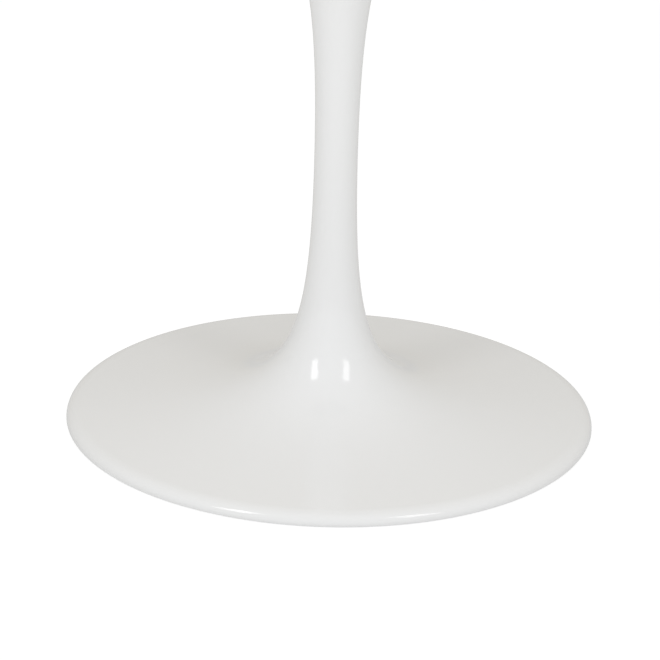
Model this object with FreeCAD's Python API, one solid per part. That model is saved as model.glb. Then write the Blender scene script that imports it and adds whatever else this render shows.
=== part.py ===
"""Tulip table base: a one-piece hollow casting with a broad round foot, a slim waisted stem and a
flared top flange, the steel plate that carries the table top, its screws, and the felt pads under
the foot. Millimetres, +Z up, origin on the floor at the stem's axis."""
import FreeCAD, Part
import math
import os

Vector = FreeCAD.Vector
ORIGIN = Vector(0, 0, 0)
AXIS = Vector(0, 0, 1)

# Casting as a whole
foot_diameter = 680.0
pedestal_height = 700.0
waist_diameter = 54.4
waist_height = 358.0
flange_diameter = 160.0
wall = 7.0

# Rim of the foot: a small round below, a soft roll above, a flat land underneath
edge_height = 15.5
edge_roll = 20.0
edge_fullness = 0.9
bottom_round = 1.0
land_width = 25.0
land_draft_deg = 3.0
land_fillet = 3.5

# Sweep from the foot up to the waist, flare from the waist up to the flange's lip
foot_slope_deg = 2.5
sweep_fullness = 2.19
flare_run = 124.0
lip_height = 6.0
lip_round = 1.5
web_fillet = 5.0
core_hole_diameter = 30.0

# Plate under the table top
plate_diameter = 260.0
plate_thickness = 6.0
plate_chamfer = 0.8
top_hole_diameter = 6.5
top_hole_margin = 15.0
top_hole_count = 8

# Countersunk screws that hold the plate to the flange
screw_diameter = 8.0
screw_head_diameter = 16.0
screw_length = 20.0
screw_tip_chamfer = 1.0
screw_sink = 0.3
screw_clearance = 0.1
screw_circle = 110.0
screw_count = 4
socket_width = 5.0
socket_depth = 3.0
screw_hole_run_out = 1.5
screw_hole_floor = 2.2

# Felt pads set into the land
pad_diameter = 16.0
pad_thickness = 2.5
pad_projection = 1.0
pad_chamfer = 0.3
pad_clearance = 0.2
pad_count = 8

# Sizes that follow from those above
foot_radius = foot_diameter / 2
waist_radius = waist_diameter / 2
flange_radius = flange_diameter / 2
foot_slope = math.radians(foot_slope_deg)
rim_bottom = pad_projection
land_outer_radius = foot_radius - bottom_round
land_inner_radius = land_outer_radius - land_width
pad_circle_radius = (land_outer_radius + land_inner_radius) / 2
sweep_start_radius = foot_radius - edge_roll
flare_end_height = pedestal_height - lip_height
plate_top = pedestal_height + plate_thickness
screw_top = plate_top - screw_sink
screw_tip = screw_top - screw_length
screw_radius = screw_diameter / 2
screw_head_radius = screw_head_diameter / 2
screw_neck = screw_top - (screw_head_radius - screw_radius)
screw_hole_bottom = screw_tip - screw_hole_run_out
web_underside = screw_hole_bottom - screw_hole_floor


def point(radius, height):
    """Point of the half section, in the plane through the axis."""
    return Vector(radius, 0, height)


def round_corner(start, corner, end):
    """Quarter circle from start to end that rounds off the square corner between them."""
    centre = start + end - corner
    middle = centre + (corner - centre) * math.sqrt(0.5)
    return Part.Arc(start, middle, end).toShape()


def conic(start, corner, end, fullness):
    """Conic arc that leaves start towards the corner and comes to its end from there.

    Fullness draws the arc into the corner: below 1 it is part of an ellipse, above 1 of a hyperbola.
    """
    curve = Part.BezierCurve()
    curve.setPoles([start, corner, end])
    curve.setWeight(2, fullness)
    return curve.toShape()


def outline(points):
    """Straight edges through the points, in order."""
    return [Part.makeLine(start, end) for start, end in zip(points[:-1], points[1:])]


def turned(edges):
    """Solid turned about the axis from the edges of a closed half section."""
    return Part.Face(Part.Wire(edges)).revolve(ORIGIN, AXIS, 360)


def ring_edge(solid, target):
    """The circular edge about the axis that passes through a point of the half section."""
    vertex = Part.Vertex(target)
    rings = [edge for edge in solid.Edges if isinstance(edge.Curve, Part.Circle)]
    return min(rings, key=lambda edge: edge.distToShape(vertex)[0])


def around_axis(shape, count):
    """Copies of a shape, spaced evenly about the axis."""
    copies = []
    for index in range(count):
        copy = shape.copy()
        copy.rotate(ORIGIN, AXIS, 360 * index / count)
        copies.append(copy)
    return copies


def foot_line_height(radius):
    """Height of the straight line that the foot's top starts along, at a radius."""
    return edge_height + (sweep_start_radius - radius) * math.tan(foot_slope)


def matching_fullness(sweep_start, sweep_corner, waist, flare_corner, flare_end):
    """Fullness that bends the flare at the waist as much as the sweep that comes up to it."""
    legs = (waist.z - sweep_corner.z) / (flare_corner.z - waist.z)
    reaches = (flare_end.x - waist.x) / (sweep_start.x - waist.x)
    return sweep_fullness * legs * math.sqrt(reaches)


def casting_section():
    """Half section of the casting, and the two inner corners that are filleted."""
    land_outer = point(land_outer_radius, rim_bottom)
    widest = point(foot_radius, rim_bottom + bottom_round)
    roll_corner = point(foot_radius, foot_line_height(foot_radius))
    sweep_start = point(sweep_start_radius, edge_height)
    sweep_corner = point(waist_radius, foot_line_height(waist_radius))
    waist = point(waist_radius, waist_height)
    flare_corner = point(waist_radius, flare_end_height - flare_run)
    flare_end = point(flange_radius, flare_end_height)
    lip_top = point(flange_radius, pedestal_height - lip_round)
    top_outer = point(flange_radius - lip_round, pedestal_height)
    outside = [
        round_corner(land_outer, point(foot_radius, rim_bottom), widest),
        conic(widest, roll_corner, sweep_start, edge_fullness),
        conic(sweep_start, sweep_corner, waist, sweep_fullness),
        conic(
            waist,
            flare_corner,
            flare_end,
            matching_fullness(sweep_start, sweep_corner, waist, flare_corner, flare_end),
        ),
        Part.makeLine(flare_end, lip_top),
        round_corner(lip_top, point(flange_radius, pedestal_height), top_outer),
    ]

    # Inside, the straight lines of the same curves each lie one wall further in
    core_radius = waist_radius - wall
    ceiling_drop = wall / math.cos(foot_slope)
    flare_angle = math.atan2(flare_run, flange_radius - waist_radius)
    core_flare_lift = wall / math.cos(flare_angle) - wall * math.tan(flare_angle)
    core_waist = point(core_radius, waist_height)
    core_flare_corner = point(core_radius, flare_corner.z + core_flare_lift)
    core_flare_out = (web_underside - core_flare_corner.z) / math.tan(flare_angle)
    core_flare_end = point(core_radius + core_flare_out, web_underside)
    core_sweep_corner = point(core_radius, foot_line_height(core_radius) - ceiling_drop)
    ceiling_edge = point(land_inner_radius, foot_line_height(land_inner_radius) - ceiling_drop)
    land_shift = (ceiling_edge.z - rim_bottom) * math.tan(math.radians(land_draft_deg))
    land_inner = point(land_inner_radius + land_shift, rim_bottom)
    inside = [
        conic(
            core_flare_end,
            core_flare_corner,
            core_waist,
            matching_fullness(
                ceiling_edge, core_sweep_corner, core_waist, core_flare_corner, core_flare_end
            ),
        ),
        conic(core_waist, core_sweep_corner, ceiling_edge, sweep_fullness),
    ]

    core_hole_radius = core_hole_diameter / 2
    top_and_web = outline(
        [
            top_outer,
            point(core_hole_radius, pedestal_height),
            point(core_hole_radius, web_underside),
            core_flare_end,
        ]
    )
    land = outline([ceiling_edge, land_inner, land_outer])
    return outside + top_and_web + inside + land, core_flare_end, ceiling_edge


def pedestal():
    """Hollow casting: foot, stem and flange in one piece, with screw holes and pad pockets."""
    section, web_corner, ceiling_edge = casting_section()
    body = turned(section)
    land_drop = ceiling_edge.z - rim_bottom
    body = body.makeFillet(web_fillet, [ring_edge(body, web_corner)])
    body = body.makeFillet(min(land_fillet, land_drop / 2), [ring_edge(body, ceiling_edge)])

    screw_hole = Part.makeCylinder(
        screw_radius + screw_clearance,
        pedestal_height - screw_hole_bottom,
        point(screw_circle / 2, screw_hole_bottom),
    )
    pocket = Part.makeCylinder(
        pad_diameter / 2 + pad_clearance, pad_thickness, point(pad_circle_radius, 0)
    )
    return body.cut(around_axis(screw_hole, screw_count) + around_axis(pocket, pad_count))


def mounting_plate():
    """Round plate with countersunk holes over the web and plain holes outside the flange."""
    plate_radius = plate_diameter / 2
    plate = Part.makeCylinder(plate_radius, plate_thickness, point(0, pedestal_height))
    rims = [ring_edge(plate, point(plate_radius, height)) for height in (pedestal_height, plate_top)]
    plate = plate.makeChamfer(plate_chamfer, rims)

    hole_radius = screw_radius + screw_clearance
    seat_radius = screw_head_radius + screw_clearance + screw_sink
    seat = turned(
        outline(
            [
                point(0, plate_top),
                point(seat_radius, plate_top),
                point(hole_radius, screw_neck),
                point(hole_radius, pedestal_height),
                point(0, pedestal_height),
                point(0, plate_top),
            ]
        )
    )
    seat.translate(point(screw_circle / 2, 0))
    top_hole = Part.makeCylinder(
        top_hole_diameter / 2,
        plate_thickness,
        point(plate_radius - top_hole_margin, pedestal_height),
    )
    return plate.cut(around_axis(seat, screw_count) + around_axis(top_hole, top_hole_count))


def plate_screws():
    """Countersunk socket screws, one at each hole of the flange."""
    screw = turned(
        outline(
            [
                point(0, screw_top),
                point(screw_head_radius, screw_top),
                point(screw_radius, screw_neck),
                point(screw_radius, screw_tip + screw_tip_chamfer),
                point(screw_radius - screw_tip_chamfer, screw_tip),
                point(0, screw_tip),
                point(0, screw_top),
            ]
        )
    )
    corner = point(socket_width / math.sqrt(3), screw_top)
    corners = [FreeCAD.Rotation(AXIS, 60 * side).multVec(corner) for side in range(7)]
    socket = Part.Face(Part.makePolygon(corners)).extrude(AXIS * -socket_depth)
    screw = screw.cut(socket)
    screw.translate(point(screw_circle / 2, 0))
    return Part.makeCompound(around_axis(screw, screw_count))


def floor_pads():
    """Felt discs that stand out of their pockets and carry the base on the floor."""
    pad_radius = pad_diameter / 2
    pad = Part.makeCylinder(pad_radius, pad_thickness)
    pad = pad.makeChamfer(pad_chamfer, [ring_edge(pad, point(pad_radius, 0))])
    pad.translate(point(pad_circle_radius, 0))
    return Part.makeCompound(around_axis(pad, pad_count))


os.makedirs("parts", exist_ok=True)
pedestal().exportStep("parts/pedestal.step")
mounting_plate().exportStep("parts/mounting_plate.step")
plate_screws().exportStep("parts/plate_screws.step")
floor_pads().exportStep("parts/floor_pads.step")
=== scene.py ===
"""Tulip table base in white gloss enamel, on a plain white floor. Metres, in the solids' frame."""
import math

import bmesh
import bpy
import numpy as np
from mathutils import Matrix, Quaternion, Vector


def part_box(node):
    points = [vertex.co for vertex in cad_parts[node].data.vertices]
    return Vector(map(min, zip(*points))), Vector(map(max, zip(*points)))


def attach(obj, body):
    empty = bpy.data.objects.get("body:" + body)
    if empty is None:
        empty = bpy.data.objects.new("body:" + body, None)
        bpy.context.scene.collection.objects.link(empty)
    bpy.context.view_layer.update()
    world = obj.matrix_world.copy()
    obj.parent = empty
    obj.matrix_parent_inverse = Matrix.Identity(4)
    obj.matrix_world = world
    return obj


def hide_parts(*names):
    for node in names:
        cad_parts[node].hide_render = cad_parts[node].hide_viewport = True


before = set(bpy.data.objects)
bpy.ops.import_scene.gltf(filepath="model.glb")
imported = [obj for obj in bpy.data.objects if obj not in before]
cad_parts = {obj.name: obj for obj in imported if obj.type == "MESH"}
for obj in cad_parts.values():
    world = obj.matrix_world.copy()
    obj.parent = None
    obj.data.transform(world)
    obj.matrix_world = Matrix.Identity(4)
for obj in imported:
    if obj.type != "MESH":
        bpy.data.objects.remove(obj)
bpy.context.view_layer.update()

MM = 0.001

# Sizes read from the solids
CASTING_LOW, CASTING_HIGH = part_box("pedestal")
PLATE_LOW, PLATE_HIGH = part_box("mounting_plate")
SCREW_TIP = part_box("plate_screws")[0].z
PAD_LOW, PAD_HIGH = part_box("floor_pads")
FOOT_RADIUS = CASTING_HIGH.x
RIM_BOTTOM = CASTING_LOW.z
FLANGE_TOP = CASTING_HIGH.z
PLATE_RADIUS = PLATE_HIGH.x

# Sizes of the casting's curves, the same as in the solids
WAIST_RADIUS = 27.2 * MM
WAIST_HEIGHT = 358 * MM
FLANGE_RADIUS = 80 * MM
WALL = 7 * MM
EDGE_HEIGHT = 15.5 * MM
EDGE_ROLL = 20 * MM
EDGE_FULLNESS = 0.9
BOTTOM_ROUND = 1 * MM
LAND_WIDTH = 25 * MM
LAND_DRAFT = math.radians(3)
LAND_FILLET = 3.5 * MM
FOOT_SLOPE = math.radians(2.5)
SWEEP_FULLNESS = 2.19
FLARE_RUN = 124 * MM
LIP_HEIGHT = 6 * MM
LIP_ROUND = 1.5 * MM
WEB_FILLET = 5 * MM
CORE_HOLE_RADIUS = 15 * MM

# Sizes of the holes, screws and pads, the same as in the solids apart from the pads' round edge
PLATE_CHAMFER = 0.8 * MM
TOP_HOLE_RADIUS = 3.25 * MM
TOP_HOLE_MARGIN = 15 * MM
TOP_HOLES = 8
SCREW_RADIUS = 4 * MM
SCREW_HEAD_RADIUS = 8 * MM
SCREW_SINK = 0.3 * MM
SCREW_CLEARANCE = 0.1 * MM
SCREW_CIRCLE_RADIUS = 55 * MM
SCREWS = 4
SCREW_HOLE_RUN_OUT = 1.5 * MM
SCREW_HOLE_FLOOR = 2.2 * MM
PAD_RADIUS = 8 * MM
PAD_CLEARANCE = 0.2 * MM
PAD_EDGE_ROUND = 0.6 * MM
PADS = 8

# Sizes that follow from those above
SCREW_HOLE_RADIUS = SCREW_RADIUS + SCREW_CLEARANCE
SCREW_HOLE_BOTTOM = SCREW_TIP - SCREW_HOLE_RUN_OUT
PAD_CIRCLE_RADIUS = PAD_HIGH.x - PAD_RADIUS

# Fineness of the meshes: steps round the axis, points along each curve, steps across a bored face
ROUND_STEPS = 240
PAD_ROUND_STEPS = 40
FLOOR_ROUND_STEPS = 64
BOTTOM_POINTS = 9
EDGE_POINTS = 28
SWEEP_POINTS = 84
FLARE_POINTS = 48
LIP_POINTS = 6
CORE_FLARE_POINTS = 40
CORE_SWEEP_POINTS = 60
FILLET_POINTS = 7
PAD_EDGE_POINTS = 6
SECTOR_SIDE_STEPS = 6
SECTOR_FACE_STEPS = 5
MERGE_DISTANCE = 0.002 * MM
SHARP_ANGLE = math.radians(32)

# Colours of the finishes
ENAMEL_COLOUR = (0.83, 0.83, 0.83, 1)
PLATE_COLOUR = (0.66, 0.67, 0.68, 1)
SCREW_COLOUR = (0.6, 0.61, 0.63, 1)
FELT_DARK_COLOUR = (0.46, 0.445, 0.415, 1)
FELT_LIGHT_COLOUR = (0.66, 0.64, 0.6, 1)

# Camera, as the photograph was taken
IMAGE_SIDE = 660
CAMERA_DISTANCE = 3.4
CAMERA_ELEVATION = math.radians(23.225)
CAMERA_AIM = Vector((-0.00185, 0, 0.11767))
CAMERA_ROLL = math.radians(1.515)
CAMERA_SENSOR = 36
CAMERA_FOCAL_PIXELS = 2613.3

# Two strip boxes beside the camera
SOFTBOX_AZIMUTH = math.radians(39.5)
SOFTBOX_DISTANCE = 0.85
SOFTBOX_WIDTH = 0.22
SOFTBOX_LENGTH = 0.47
SOFTBOX_HEIGHT = 0.865
SOFTBOX_TILT = math.radians(22)
LEFT_SOFTBOX_POWER = 1.7
RIGHT_SOFTBOX_POWER = 1.41

# Room and floor: their colours, the floor's own glow, and the shares of white in reflections
WHITE = (1, 1, 1, 1)
ROOM_FRONT_COLOUR = (0.973, 0.992, 1.013, 1)
ROOM_BACK_COLOUR = (0.511, 0.479, 0.418, 1)
ROOM_REFLECTED_SHARE = 0.3
FLOOR_RADIUS = 30
FLOOR_BOUNCE_COLOUR = (0.8, 0.8, 0.8, 1)
FLOOR_SEEN_COLOUR = (0.3, 0.3, 0.3, 1)
FLOOR_GLOW = 0.79
FLOOR_REFLECTED_SHARE = 0.48


def conic(start, corner, end, fullness, count):
    """Conic arc in the half section, as points (radius, height).

    With t from 0 to 1, the points are start, corner and end weighted by (1 - t)^2, 2 f t (1 - t)
    and t^2, where f is the fullness, divided by the sum of the three weights.
    """
    t = np.linspace(0, 1, count)[:, None]
    weights = np.hstack([(1 - t) ** 2, 2 * fullness * t * (1 - t), t**2])
    return weights @ np.array([start, corner, end]) / weights.sum(axis=1, keepdims=True)


def arc(centre, radius, first_angle, last_angle, count):
    """Circular arc in the half section: the centre plus the radius times (cos a, sin a)."""
    angles = np.linspace(first_angle, last_angle, count)
    return np.array(centre) + radius * np.stack([np.cos(angles), np.sin(angles)], axis=1)


def filleted(curve, side, line_point, line_normal, radius):
    """The curve, cut short and led into a straight line by an arc that touches both.

    The arc's centre is where the curve, moved by the radius to its left (side 1) or right
    (side -1), lies one radius from the line. The arc then turns from the curve's own normal to the
    line's normal.
    """
    along = np.gradient(curve, axis=0)
    along /= np.linalg.norm(along, axis=1, keepdims=True)
    across = side * np.stack([-along[:, 1], along[:, 0]], axis=1)
    moved = curve + radius * across
    room = (moved - line_point) @ line_normal - radius
    last = np.nonzero(room > 0)[0][-1]
    share = room[last] / (room[last] - room[last + 1])
    centre = moved[last] + share * (moved[last + 1] - moved[last])
    touch = -(across[last] + share * (across[last + 1] - across[last]))
    first_angle = math.atan2(touch[1], touch[0])
    last_angle = math.atan2(-line_normal[1], -line_normal[0])
    turn = (last_angle - first_angle + math.pi) % (2 * math.pi) - math.pi
    fillet = arc(centre, radius, first_angle, first_angle + turn, FILLET_POINTS)
    return np.vstack([curve[: last + 1], fillet])


def closed_grid_faces(rows, columns):
    """Quads of a grid of points whose columns close on themselves."""
    index = np.arange(rows * columns).reshape(rows, columns)
    beside = np.roll(index, -1, axis=1)
    return np.stack([index[:-1], beside[:-1], beside[1:], index[1:]], axis=-1).reshape(-1, 4)


def turned(profile, steps=ROUND_STEPS):
    """Surface of a profile carried round the axis: (r cos a, r sin a, z) at each angle a."""
    angles = 2 * np.pi * np.arange(steps) / steps
    radius, height = profile[:, :1], profile[:, 1:]
    grid = np.stack(
        [radius * np.cos(angles), radius * np.sin(angles), height + 0 * angles], axis=-1
    )
    return grid.reshape(-1, 3), closed_grid_faces(len(profile), steps)


def spaced_round(points, faces, count):
    """The surface repeated evenly about the axis: (x cos a - y sin a, x sin a + y cos a, z)."""
    angles = 2 * np.pi * np.arange(count) / count
    cosine, sine = np.cos(angles)[:, None], np.sin(angles)[:, None]
    x, y, z = points.T
    copies = np.stack([cosine * x - sine * y, sine * x + cosine * y, z + 0 * cosine], axis=-1)
    shifts = len(points) * np.arange(count)[:, None, None]
    return copies.reshape(-1, 3), (faces + shifts).reshape(-1, 4)


def bored_ring(inner_radius, outer_radius, hole_centre, hole_profile, count):
    """Flat ring with round holes, made of one sector for each hole.

    A loop of points (radius, angle) runs round the sector's edge. From each of them a line runs to
    the hole's centre: along the face to the hole's mouth, straight in radius and angle, then down
    the hole's profile of (radius, height) points. A hole that ends at radius 0 is blind, and one
    that ends at a wall opens into the ring's other face.
    """
    half = math.pi / count
    span = np.linspace(-half, half, ROUND_STEPS // count + 1)
    side = np.linspace(outer_radius, inner_radius, SECTOR_SIDE_STEPS + 1)[1:-1]
    loop_radius = np.hstack([outer_radius + 0 * span, side, inner_radius + 0 * span, side[::-1]])
    loop_angle = np.hstack([span, half + 0 * side, span[::-1], -half + 0 * side])
    away = np.stack([loop_radius - hole_centre, hole_centre * loop_angle], axis=1)
    away /= np.linalg.norm(away, axis=1, keepdims=True)
    centre = np.array([hole_centre, 0])
    shares = np.linspace(0, 1, SECTOR_FACE_STEPS + 1)[1:, None]

    def level(flat, height):
        """Points (x, y) lifted to one height."""
        return np.concatenate([flat, np.full(flat.shape[:-1] + (1,), height)], axis=-1)

    def face_rows(mouth_radius, height):
        """Rows of a face, from just outside the hole's mouth to the sector's edge."""
        x, y = (centre + mouth_radius * away).T
        mouth_angle = np.arctan2(y, x)
        radius = np.hypot(x, y) + shares * (loop_radius - np.hypot(x, y))
        angle = mouth_angle + shares * (loop_angle - mouth_angle)
        return level(radius[..., None] * np.stack([np.cos(angle), np.sin(angle)], axis=-1), height)

    bore = np.stack([level(centre + radius * away, height) for radius, height in hole_profile])
    first_radius, first_height = hole_profile[0]
    last_radius, last_height = hole_profile[-1]
    rows = [face_rows(first_radius, first_height)[::-1], bore]
    if last_radius > 0:
        rows.append(face_rows(last_radius, last_height))
    grid = np.concatenate(rows)
    return spaced_round(grid.reshape(-1, 3), closed_grid_faces(*grid.shape[:2]), count)


def make_piece(name, surfaces, material, node):
    """Joins surfaces into one closed piece that rides with the base and stands for a node."""
    shifts = np.cumsum([0] + [len(points) for points, _ in surfaces[:-1]])
    points = np.vstack([points for points, _ in surfaces])
    faces = np.vstack([faces + shift for (_, faces), shift in zip(surfaces, shifts)])
    mesh = bpy.data.meshes.new(name)
    mesh.from_pydata(points, [], faces)
    work = bmesh.new()
    work.from_mesh(mesh)
    bmesh.ops.remove_doubles(work, verts=work.verts, dist=MERGE_DISTANCE)
    bmesh.ops.recalc_face_normals(work, faces=work.faces)
    work.to_mesh(mesh)
    work.free()
    mesh.polygons.foreach_set("use_smooth", np.ones(len(mesh.polygons), bool))
    mesh.set_sharp_from_angle(angle=SHARP_ANGLE)
    mesh.materials.append(material)
    piece = bpy.data.objects.new(name, mesh)
    bpy.context.scene.collection.objects.link(piece)
    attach(piece, "root")
    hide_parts(node)


def foot_line(radius):
    """Height of the straight line that the foot's top starts along, at a radius."""
    return EDGE_HEIGHT + (FOOT_RADIUS - EDGE_ROLL - radius) * math.tan(FOOT_SLOPE)


def matching_fullness(sweep_start, sweep_corner, waist, flare_corner, flare_end):
    """Fullness that bends the flare at the waist as much as the sweep that comes up to it."""
    legs = (waist[1] - sweep_corner[1]) / (flare_corner[1] - waist[1])
    reaches = (flare_end[0] - waist[0]) / (sweep_start[0] - waist[0])
    return SWEEP_FULLNESS * legs * math.sqrt(reaches)


def casting_outside():
    """Half section of the outside: bottom round, rolled edge, sweep, waist, flare and lip."""
    widest = (FOOT_RADIUS, RIM_BOTTOM + BOTTOM_ROUND)
    roll_corner = (FOOT_RADIUS, foot_line(FOOT_RADIUS))
    sweep_start = (FOOT_RADIUS - EDGE_ROLL, EDGE_HEIGHT)
    sweep_corner = (WAIST_RADIUS, foot_line(WAIST_RADIUS))
    waist = (WAIST_RADIUS, WAIST_HEIGHT)
    flare_end = (FLANGE_RADIUS, FLANGE_TOP - LIP_HEIGHT)
    flare_corner = (WAIST_RADIUS, flare_end[1] - FLARE_RUN)
    flare_fullness = matching_fullness(sweep_start, sweep_corner, waist, flare_corner, flare_end)
    bottom_centre = (FOOT_RADIUS - BOTTOM_ROUND, widest[1])
    lip_centre = (FLANGE_RADIUS - LIP_ROUND, FLANGE_TOP - LIP_ROUND)
    return np.vstack(
        [
            arc(bottom_centre, BOTTOM_ROUND, -math.pi / 2, 0, BOTTOM_POINTS),
            conic(widest, roll_corner, sweep_start, EDGE_FULLNESS, EDGE_POINTS)[1:],
            conic(sweep_start, sweep_corner, waist, SWEEP_FULLNESS, SWEEP_POINTS)[1:],
            conic(waist, flare_corner, flare_end, flare_fullness, FLARE_POINTS)[1:],
            arc(lip_centre, LIP_ROUND, 0, math.pi / 2, LIP_POINTS),
        ]
    )


def casting_inside():
    """Half section of the core: hole in the web, web, flare, stem, ceiling of the foot and land."""
    web_underside = SCREW_HOLE_BOTTOM - SCREW_HOLE_FLOOR
    core_radius = WAIST_RADIUS - WALL
    ceiling_drop = WALL / math.cos(FOOT_SLOPE)
    flare_angle = math.atan2(FLARE_RUN, FLANGE_RADIUS - WAIST_RADIUS)
    corner_lift = WALL / math.cos(flare_angle) - WALL * math.tan(flare_angle)
    land_inner_radius = FOOT_RADIUS - BOTTOM_ROUND - LAND_WIDTH

    waist = (core_radius, WAIST_HEIGHT)
    flare_corner = (core_radius, FLANGE_TOP - LIP_HEIGHT - FLARE_RUN + corner_lift)
    flare_out = (web_underside - flare_corner[1]) / math.tan(flare_angle)
    flare_end = (core_radius + flare_out, web_underside)
    sweep_corner = (core_radius, foot_line(core_radius) - ceiling_drop)
    ceiling_edge = (land_inner_radius, foot_line(land_inner_radius) - ceiling_drop)
    land_shift = (ceiling_edge[1] - RIM_BOTTOM) * math.tan(LAND_DRAFT)
    land_edge = (land_inner_radius + land_shift, RIM_BOTTOM)
    flare_fullness = matching_fullness(ceiling_edge, sweep_corner, waist, flare_corner, flare_end)

    flare = conic(waist, flare_corner, flare_end, flare_fullness, CORE_FLARE_POINTS)
    flare = filleted(flare, 1, np.array(flare_end), np.array([0, -1]), WEB_FILLET)
    sweep = conic(waist, sweep_corner, ceiling_edge, SWEEP_FULLNESS, CORE_SWEEP_POINTS)
    wall_normal = np.array([-math.cos(LAND_DRAFT), -math.sin(LAND_DRAFT)])
    sweep = filleted(sweep, -1, np.array(ceiling_edge), wall_normal, LAND_FILLET)
    hole = np.array([(CORE_HOLE_RADIUS, FLANGE_TOP), (CORE_HOLE_RADIUS, web_underside)])
    return np.vstack([hole, flare[::-1], sweep[1:], [land_edge]])


def make_casting(material):
    """Foot, stem and flange in one piece, with blind screw holes on top and pad pockets below."""
    outside = casting_outside()
    inside = casting_inside()
    screw_hole = [
        (SCREW_HOLE_RADIUS, FLANGE_TOP),
        (SCREW_HOLE_RADIUS, SCREW_HOLE_BOTTOM),
        (0, SCREW_HOLE_BOTTOM),
    ]
    pocket_radius = PAD_RADIUS + PAD_CLEARANCE
    pocket = [(pocket_radius, RIM_BOTTOM), (pocket_radius, PAD_HIGH.z), (0, PAD_HIGH.z)]
    flange_edge, land_edge, rim_edge = outside[-1, 0], inside[-1, 0], outside[0, 0]
    surfaces = [
        turned(outside),
        bored_ring(CORE_HOLE_RADIUS, flange_edge, SCREW_CIRCLE_RADIUS, screw_hole, SCREWS),
        turned(inside),
        bored_ring(land_edge, rim_edge, PAD_CIRCLE_RADIUS, pocket, PADS),
    ]
    make_piece("white_casting", surfaces, material, "pedestal")


def make_plate(material):
    """Round plate: plain middle, ring of countersunk holes, ring of plain holes, bevelled rim."""
    middle_radius = 25 * MM
    joint_radius = 85 * MM
    face_radius = PLATE_RADIUS - PLATE_CHAMFER
    low, high = PLATE_LOW.z, PLATE_HIGH.z
    seat_radius = SCREW_HEAD_RADIUS + SCREW_CLEARANCE + SCREW_SINK
    neck = high - SCREW_SINK - (SCREW_HEAD_RADIUS - SCREW_RADIUS)
    seat = [(seat_radius, high), (SCREW_HOLE_RADIUS, neck), (SCREW_HOLE_RADIUS, low)]
    plain = [(TOP_HOLE_RADIUS, high), (TOP_HOLE_RADIUS, low)]
    rim = [
        (face_radius, low),
        (PLATE_RADIUS, low + PLATE_CHAMFER),
        (PLATE_RADIUS, high - PLATE_CHAMFER),
        (face_radius, high),
    ]
    surfaces = [
        turned(np.array([(0, high), (middle_radius, high)])),
        turned(np.array([(0, low), (middle_radius, low)])),
        bored_ring(middle_radius, joint_radius, SCREW_CIRCLE_RADIUS, seat, SCREWS),
        bored_ring(joint_radius, face_radius, PLATE_RADIUS - TOP_HOLE_MARGIN, plain, TOP_HOLES),
        turned(np.array(rim)),
    ]
    make_piece("steel_plate", surfaces, material, "mounting_plate")


def make_pads(material):
    """Felt discs with softly pressed edges, each turned about its middle and set in its pocket."""
    low, high = PAD_LOW.z, PAD_HIGH.z
    edge_centre = (PAD_RADIUS - PAD_EDGE_ROUND, low + PAD_EDGE_ROUND)
    profile = np.vstack(
        [
            [(0, low)],
            arc(edge_centre, PAD_EDGE_ROUND, -math.pi / 2, 0, PAD_EDGE_POINTS),
            [(PAD_RADIUS, high), (0, high)],
        ]
    )
    points, faces = turned(profile, PAD_ROUND_STEPS)
    surfaces = [spaced_round(points + [PAD_CIRCLE_RADIUS, 0, 0], faces, PADS)]
    make_piece("felt_pads", surfaces, material, "floor_pads")


def new_material(name):
    """Empty node material, with its tree and its output node."""
    material = bpy.data.materials.new(name)
    material.use_nodes = True
    tree = material.node_tree
    tree.nodes.clear()
    return material, tree, tree.nodes.new("ShaderNodeOutputMaterial")


def set_inputs(node, inputs):
    """Sets input sockets by name; a name is written with _ for each space."""
    for socket, value in inputs.items():
        node.inputs[socket.replace("_", " ")].default_value = value


def add_node(tree, kind, **inputs):
    """New node with some of its input sockets set."""
    node = tree.nodes.new(kind)
    set_inputs(node, inputs)
    return node


def add_math(tree, operation, *values):
    """Output of a new math node whose inputs are numbers or other nodes' outputs."""
    node = tree.nodes.new("ShaderNodeMath")
    node.operation = operation
    for socket, value in zip(node.inputs, values):
        if isinstance(value, (int, float)):
            socket.default_value = value
        else:
            tree.links.new(value, socket)
    return node.outputs[0]


def add_mix(tree, factor, first, second):
    """Output of a new node that mixes two colours, each a value or another node's output."""
    node = tree.nodes.new("ShaderNodeMix")
    node.data_type = "RGBA"
    tree.links.new(factor, node.inputs["Factor"])
    for socket, colour in (("A", first), ("B", second)):
        if isinstance(colour, tuple):
            node.inputs[socket].default_value = colour
        else:
            tree.links.new(colour, node.inputs[socket])
    return node.outputs["Result"]


def make_group(name, inputs, output):
    """Empty shader node group with named float inputs and one named float output."""
    group = bpy.data.node_groups.new(name, "ShaderNodeTree")
    for socket, value in inputs.items():
        made = group.interface.new_socket(socket, in_out="INPUT", socket_type="NodeSocketFloat")
        made.default_value = value
    group.interface.new_socket(output, in_out="OUTPUT", socket_type="NodeSocketFloat")
    return group, group.nodes.new("NodeGroupInput"), group.nodes.new("NodeGroupOutput")


def ripple_group():
    """Height of a sprayed or rolled skin: fine peel plus slow waves, each noise times depth."""
    inputs = {"Peel Scale": 300, "Peel Depth": 1, "Wave Scale": 10, "Wave Depth": 1}
    group, given, result = make_group("skin_ripple", inputs, "Height")
    links = group.links
    place = group.nodes.new("ShaderNodeTexCoord")
    heights = []
    for kind, detail in (("Peel", 1), ("Wave", 0)):
        noise = add_node(group, "ShaderNodeTexNoise", Detail=detail)
        links.new(place.outputs["Object"], noise.inputs["Vector"])
        links.new(given.outputs[kind + " Scale"], noise.inputs["Scale"])
        depth = given.outputs[kind + " Depth"]
        heights.append(add_math(group, "MULTIPLY", noise.outputs["Fac"], depth))
    links.new(add_math(group, "ADD", *heights), result.inputs["Height"])
    return group


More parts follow.
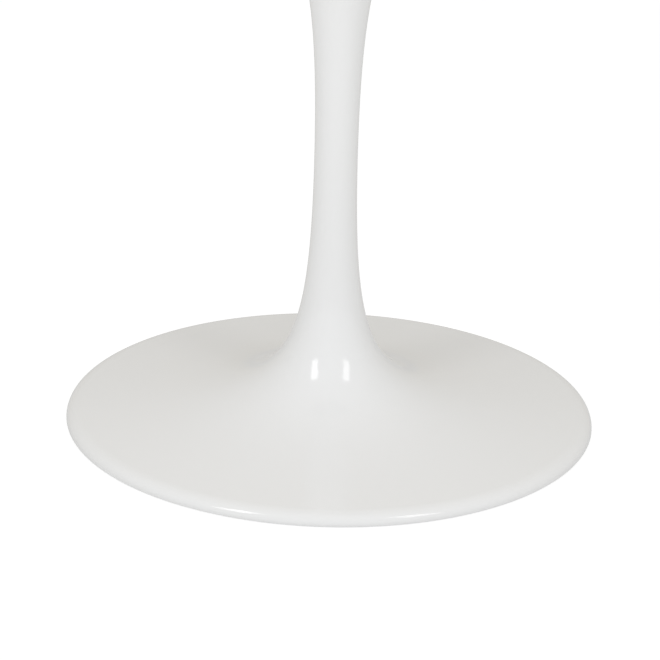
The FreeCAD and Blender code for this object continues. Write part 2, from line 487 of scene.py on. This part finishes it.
def patch_group():
    """Slow uneven patches: a noise spread from a low to a high value."""
    inputs = {"Scale": 8, "Low": 0.1, "High": 0.2}
    group, given, result = make_group("uneven_patches", inputs, "Value")
    links = group.links
    place = group.nodes.new("ShaderNodeTexCoord")
    noise = add_node(group, "ShaderNodeTexNoise", Detail=3)
    spread = add_node(group, "ShaderNodeMapRange", From_Min=0.3, From_Max=0.7)
    links.new(place.outputs["Object"], noise.inputs["Vector"])
    links.new(given.outputs["Scale"], noise.inputs["Scale"])
    links.new(noise.outputs["Fac"], spread.inputs["Value"])
    links.new(given.outputs["Low"], spread.inputs["To Min"])
    links.new(given.outputs["High"], spread.inputs["To Max"])
    links.new(spread.outputs["Result"], result.inputs["Value"])
    return group


def place_group(tree, group, **inputs):
    """A shared group placed in a material with its own values."""
    node = tree.nodes.new("ShaderNodeGroup")
    node.node_tree = group
    set_inputs(node, inputs)
    return node


def add_gloss(tree, shader, patches, **inputs):
    """Uneven roughness from the patch group."""
    gloss = place_group(tree, patches, **inputs)
    tree.links.new(gloss.outputs["Value"], shader.inputs["Roughness"])


def add_ripple(tree, shader, ripples, metres, **inputs):
    """Bump from the ripple group, where a height of 1 stands for so many metres."""
    ripple = place_group(tree, ripples, **inputs)
    bump = add_node(tree, "ShaderNodeBump", Strength=1, Distance=metres)
    tree.links.new(ripple.outputs["Height"], bump.inputs["Height"])
    tree.links.new(bump.outputs["Normal"], shader.inputs["Normal"])


def white_enamel(ripples, patches):
    """Sprayed gloss enamel: plain white, faint peel, slow waves of the casting, uneven gloss."""
    material, tree, output = new_material("sprayed_white_enamel")
    shader = add_node(tree, "ShaderNodeBsdfPrincipled", Base_Color=ENAMEL_COLOUR, IOR=1.5)
    skin = {"Peel_Scale": 260, "Peel_Depth": 0.04, "Wave_Scale": 16, "Wave_Depth": 1}
    add_gloss(tree, shader, patches, Scale=7, Low=0.09, High=0.15)
    add_ripple(tree, shader, ripples, 0.12 * MM, **skin)
    tree.links.new(shader.outputs["BSDF"], output.inputs["Surface"])
    return material


def zinc(name, colour, ripples, patches):
    """Bright zinc plating on steel: a cool grey metal with cloudy gloss and fine unevenness."""
    material, tree, output = new_material(name)
    shader = add_node(tree, "ShaderNodeBsdfPrincipled", Base_Color=colour, Metallic=1)
    skin = {"Peel_Scale": 900, "Peel_Depth": 0.3, "Wave_Scale": 90, "Wave_Depth": 1}
    add_gloss(tree, shader, patches, Scale=60, Low=0.24, High=0.42)
    add_ripple(tree, shader, ripples, 0.03 * MM, **skin)
    tree.links.new(shader.outputs["BSDF"], output.inputs["Surface"])
    return material


def grey_felt(ripples, patches):
    """Pressed wool felt: mottled warm grey, rough, with a fine fibre height."""
    material, tree, output = new_material("grey_felt")
    shader = add_node(tree, "ShaderNodeBsdfPrincipled", Roughness=0.95, Sheen_Weight=0.3)
    skin = {"Peel_Scale": 2600, "Peel_Depth": 1, "Wave_Scale": 400, "Wave_Depth": 0.6}
    mottle = place_group(tree, patches, Scale=900, Low=0, High=1)
    colour = add_mix(tree, mottle.outputs["Value"], FELT_DARK_COLOUR, FELT_LIGHT_COLOUR)
    tree.links.new(colour, shader.inputs["Base Color"])
    add_ripple(tree, shader, ripples, 0.15 * MM, **skin)
    tree.links.new(shader.outputs["BSDF"], output.inputs["Surface"])
    return material


def white_share(tree, reflected_share):
    """1 for rays from the eye, also through glass, a share for mirrored rays, and 0 for others."""
    path = tree.nodes.new("ShaderNodeLightPath")
    camera, transmitted = path.outputs["Is Camera Ray"], path.outputs["Is Transmission Ray"]
    direct = add_math(tree, "MAXIMUM", camera, transmitted)
    reflected = add_math(tree, "MULTIPLY", path.outputs["Is Glossy Ray"], reflected_share)
    return add_math(tree, "MAXIMUM", direct, reflected)


def floor_material():
    """Floor that is white to the eye, pale in reflections, and keeps part of the base's shadow."""
    material, tree, output = new_material("white_floor")
    links = tree.links
    seen = white_share(tree, 1)
    white = white_share(tree, FLOOR_REFLECTED_SHARE)
    matt = tree.nodes.new("ShaderNodeBsdfDiffuse")
    glow = tree.nodes.new("ShaderNodeEmission")
    both = tree.nodes.new("ShaderNodeAddShader")
    links.new(add_mix(tree, seen, FLOOR_BOUNCE_COLOUR, FLOOR_SEEN_COLOUR), matt.inputs["Color"])
    links.new(add_math(tree, "MULTIPLY", white, FLOOR_GLOW), glow.inputs["Strength"])
    links.new(matt.outputs[0], both.inputs[0])
    links.new(glow.outputs[0], both.inputs[1])
    links.new(both.outputs[0], output.inputs["Surface"])
    return material


def make_floor():
    """Round floor at the height that the pads stand on."""
    angles = 2 * np.pi * np.arange(FLOOR_ROUND_STEPS) / FLOOR_ROUND_STEPS
    points = FLOOR_RADIUS * np.stack([np.cos(angles), np.sin(angles), 0 * angles], axis=1)
    mesh = bpy.data.meshes.new("floor")
    mesh.from_pydata(points, [], [list(range(FLOOR_ROUND_STEPS))])
    mesh.materials.append(floor_material())
    floor = bpy.data.objects.new("floor", mesh)
    bpy.context.scene.collection.objects.link(floor)


def make_room():
    """Pale room light, bright on the camera's side and dimmer towards the back.

    A direction's depth (y + 1) / 2 runs from 0 in front to 1 behind and mixes the two colours. To
    the eye the room is white, and in reflections its colour is mixed with a share of that white.
    """
    world = bpy.data.worlds.new("pale_room")
    world.use_nodes = True
    bpy.context.scene.world = world
    tree = world.node_tree
    tree.nodes.clear()
    links = tree.links
    place = tree.nodes.new("ShaderNodeTexCoord")
    axes = tree.nodes.new("ShaderNodeSeparateXYZ")
    background = tree.nodes.new("ShaderNodeBackground")
    output = tree.nodes.new("ShaderNodeOutputWorld")
    links.new(place.outputs["Generated"], axes.inputs["Vector"])
    depth = add_math(tree, "MULTIPLY_ADD", axes.outputs["Y"], 0.5, 0.5)
    room = add_mix(tree, depth, ROOM_FRONT_COLOUR, ROOM_BACK_COLOUR)
    shown = add_mix(tree, white_share(tree, ROOM_REFLECTED_SHARE), room, WHITE)
    links.new(shown, background.inputs["Color"])
    links.new(background.outputs[0], output.inputs["Surface"])


def make_softboxes():
    """Two strip boxes, one each side of the camera, tilted down to the base, the left stronger."""
    lamps = (("left_softbox", -1, LEFT_SOFTBOX_POWER), ("right_softbox", 1, RIGHT_SOFTBOX_POWER))
    for name, side, power in lamps:
        data = bpy.data.lights.new(name, "AREA")
        data.shape = "RECTANGLE"
        data.size = SOFTBOX_WIDTH
        data.size_y = SOFTBOX_LENGTH
        data.energy = power
        lamp = bpy.data.objects.new(name, data)
        bpy.context.scene.collection.objects.link(lamp)
        lamp.location = (
            side * SOFTBOX_DISTANCE * math.sin(SOFTBOX_AZIMUTH),
            -SOFTBOX_DISTANCE * math.cos(SOFTBOX_AZIMUTH),
            SOFTBOX_HEIGHT,
        )
        lamp.rotation_euler = (math.pi / 2 - SOFTBOX_TILT, 0, side * SOFTBOX_AZIMUTH)
        lamp.visible_camera = False


def make_camera():
    """Camera in front of the base and above it, a little rolled, as in the photograph."""
    data = bpy.data.cameras.new("photo_camera")
    data.sensor_width = CAMERA_SENSOR
    data.lens = CAMERA_SENSOR * CAMERA_FOCAL_PIXELS / IMAGE_SIDE
    data.clip_end = 2 * FLOOR_RADIUS
    camera = bpy.data.objects.new("photo_camera", data)
    bpy.context.scene.collection.objects.link(camera)
    camera.location = (
        0,
        -CAMERA_DISTANCE * math.cos(CAMERA_ELEVATION),
        CAMERA_DISTANCE * math.sin(CAMERA_ELEVATION),
    )
    aim = CAMERA_AIM - camera.location
    roll = Quaternion((0, 0, 1), CAMERA_ROLL)
    camera.rotation_mode = "QUATERNION"
    camera.rotation_quaternion = aim.to_track_quat("-Z", "Y") @ roll
    bpy.context.scene.camera = camera


ripples = ripple_group()
patches = patch_group()
make_casting(white_enamel(ripples, patches))
make_plate(zinc("bright_zinc_plate", PLATE_COLOUR, ripples, patches))
make_pads(grey_felt(ripples, patches))
screw_finish = zinc("bright_zinc_screw", SCREW_COLOUR, ripples, patches)
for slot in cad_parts["plate_screws"].material_slots:
    slot.material = screw_finish
make_floor()
make_room()
make_softboxes()
make_camera()
bpy.context.scene.view_settings.view_transform = "Standard"
